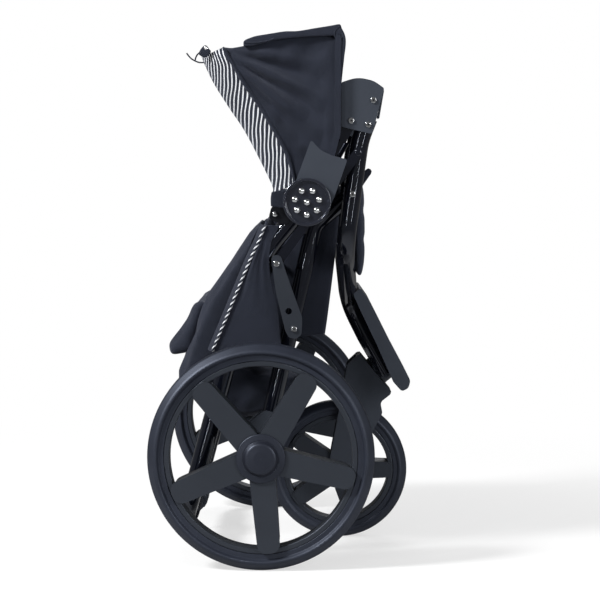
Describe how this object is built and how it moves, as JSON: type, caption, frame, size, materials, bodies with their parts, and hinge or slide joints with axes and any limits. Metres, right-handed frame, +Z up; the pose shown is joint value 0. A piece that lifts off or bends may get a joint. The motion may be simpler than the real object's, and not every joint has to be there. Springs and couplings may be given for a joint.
{
  "type": "three-wheeled baby stroller",
  "caption": "Baby stroller with two large rear wheels and a front caster, folded flat with its hood, seat fabric and handle between the wheels.",
  "frame": {"origin": "on the floor, under the middle of the folded stroller's box", "axes": "+X to the front of the stroller, where the caster is, +Y to its left, +Z up"},
  "size_m": [0.3604, 0.6204, 0.7359],
  "materials": {
    "tyre_rubber": "matt",
    "wheel_plastic": "satin",
    "frame_tube": "gloss",
    "bracket_plastic": "satin",
    "bright_steel": "bright",
    "dark_steel": "satin",
    "foam": "matt",
    "fabric_navy": "matt",
    "fabric_stripe": "matt",
    "elastic": "matt",
    "gloss_trim": "gloss"
  },
  "bodies": {
    "axle": {"rear_axle": "dark_steel"},
    "brake": {"brake_shaft": "dark_steel", "brake_pedal": "bracket_plastic"},
    "rear_wheel_right": {"rear_tyre_right": "tyre_rubber", "rear_rim_right": "wheel_plastic", "rear_hub_cap_right": "wheel_plastic"},
    "rear_wheel_left": {"rear_tyre_left": "tyre_rubber", "rear_rim_left": "wheel_plastic", "rear_hub_cap_left": "wheel_plastic"},
    "rear_legs": {"rear_leg_right": "frame_tube", "rear_leg_left": "frame_tube", "basket": "fabric_navy", "leg_socket_right": "bracket_plastic", "leg_socket_left": "bracket_plastic", "rear_cross_tube": "frame_tube", "link_studs": "bright_steel"},
    "links": {"fold_link_right": "bracket_plastic", "fold_link_left": "bracket_plastic", "link_top_screws": "bright_steel"},
    "front_frame": {"front_leg_right": "frame_tube", "front_leg_left": "frame_tube", "fold_bracket_right": "bracket_plastic", "fold_bracket_left": "bracket_plastic", "bracket_screws": "bright_steel", "handle_pivot_bolts": "bright_steel", "leg_pivot_bolts": "bright_steel", "footrest": "bracket_plastic", "caster_housing": "bracket_plastic", "calf_panel": "fabric_navy", "leg_straps": "fabric_navy"},
    "caster": {"caster_fork": "bracket_plastic", "swivel_stem": "dark_steel", "front_axle_bolt": "dark_steel"},
    "front_wheel": {"front_tyre": "tyre_rubber", "front_rim": "wheel_plastic"},
    "handle": {"handle_tube_right": "frame_tube", "handle_tube_left": "frame_tube", "handle_bar": "frame_tube", "foam_grip": "foam", "trigger_collars": "bracket_plastic", "hub_plate_right": "bracket_plastic", "hub_plate_left": "bracket_plastic", "hub_disc_right": "gloss_trim", "hub_disc_left": "gloss_trim", "hub_studs": "gloss_trim", "strap_brackets": "dark_steel"},
    "trigger": {"fold_trigger": "bracket_plastic"},
    "seat": {"seat_rail_right": "frame_tube", "seat_rail_left": "frame_tube", "seat_rods": "dark_steel", "seat_pan": "fabric_navy", "seat_skirt": "fabric_navy"},
    "back": {"backrest": "fabric_navy", "back_flap": "fabric_navy"},
    "lower_back": {"lower_back": "fabric_navy"},
    "canopy": {"canopy_rear": "fabric_stripe", "canopy_cord": "elastic"},
    "canopy_front": {"canopy_flap": "fabric_navy", "canopy_bow_right": "dark_steel", "canopy_bow_left": "dark_steel"}
  },
  "joints": [
    {"name": "rear_wheel_right_spin", "type": "hinge", "parent": "axle", "child": "rear_wheel_right", "pos_m": [-0.02765, -0.275, 0.1525], "axis": [0, 1, 0], "continuous": true},
    {"name": "rear_wheel_left_spin", "type": "hinge", "parent": "axle", "child": "rear_wheel_left", "pos_m": [-0.02765, 0.275, 0.1525], "axis": [0, 1, 0], "continuous": true},
    {"name": "brake_press", "type": "hinge", "parent": "rear_legs", "child": "brake", "pos_m": [-0.05365, 0, 0.168], "axis": [0, -1, 0], "range_deg": [0, 18], "stiffness_Nm_per_rad": 0.4},
    {"name": "leg_fold", "type": "hinge", "parent": "axle", "child": "rear_legs", "pos_m": [-0.02765, 0, 0.1525], "axis": [0, -1, 0], "range_deg": [-35, 0]},
    {"name": "main_fold", "type": "hinge", "parent": "rear_legs", "child": "front_frame", "pos_m": [0.09585, 0, 0.5038], "axis": [0, -1, 0], "range_deg": [0, 85.5]},
    {"name": "link_fold", "type": "hinge", "parent": "rear_legs", "child": "links", "pos_m": [0.01615, 0, 0.3209], "axis": [0, -1, 0], "range_deg": [0, 48.5]},
    {"name": "seat_fold", "type": "hinge", "parent": "front_frame", "child": "seat", "pos_m": [0.10295, 0, 0.56], "axis": [0, -1, 0], "range_deg": [-83.9, 0]},
    {"name": "handle_fold", "type": "hinge", "parent": "front_frame", "child": "handle", "pos_m": [0.09375, 0, 0.6033], "axis": [0, -1, 0], "range_deg": [-172, 0]},
    {"name": "back_fold", "type": "hinge", "parent": "handle", "child": "back", "pos_m": [-0.07065, 0, 0.289], "axis": [0, -1, 0], "range_deg": [-35.6, 0]},
    {"name": "lower_back_fold", "type": "hinge", "parent": "back", "child": "lower_back", "pos_m": [-0.02165, 0, 0.466], "axis": [0, -1, 0], "range_deg": [0, 167.4]},
    {"name": "canopy_fold", "type": "hinge", "parent": "handle", "child": "canopy", "pos_m": [0.03375, 0, 0.493], "axis": [0, -1, 0], "range_deg": [0, 88]},
    {"name": "canopy_open", "type": "hinge", "parent": "canopy", "child": "canopy_front", "pos_m": [0.03375, 0, 0.493], "axis": [0, -1, 0], "range_deg": [-45, 0]},
    {"name": "trigger_squeeze", "type": "hinge", "parent": "handle", "child": "trigger", "pos_m": [-0.13265, 0, 0.06], "axis": [0, -1, 0], "range_deg": [0, 12], "stiffness_Nm_per_rad": 0.6},
    {"name": "caster_swivel", "type": "hinge", "parent": "front_frame", "child": "caster", "pos_m": [0.13375, 0, 0.2423], "axis": [0.7716, 0, 0.6361], "range_deg": [-35, 35]},
    {"name": "front_wheel_spin", "type": "hinge", "parent": "caster", "child": "front_wheel", "pos_m": [0.07935, 0, 0.1], "axis": [0, 1, 0], "continuous": true}
  ],
  "couplings": [
    {"joint": "leg_fold", "follows": "main_fold", "ratio": -0.40935},
    {"joint": "handle_fold", "follows": "main_fold", "ratio": -2.0117},
    {"joint": "seat_fold", "follows": "main_fold", "ratio": -0.98128},
    {"joint": "link_fold", "follows": "main_fold", "ratio": 0.56725},
    {"joint": "back_fold", "follows": "main_fold", "ratio": -0.41637},
    {"joint": "lower_back_fold", "follows": "main_fold", "ratio": 1.9579},
    {"joint": "canopy_fold", "follows": "main_fold", "ratio": 1.0292}
  ]
}
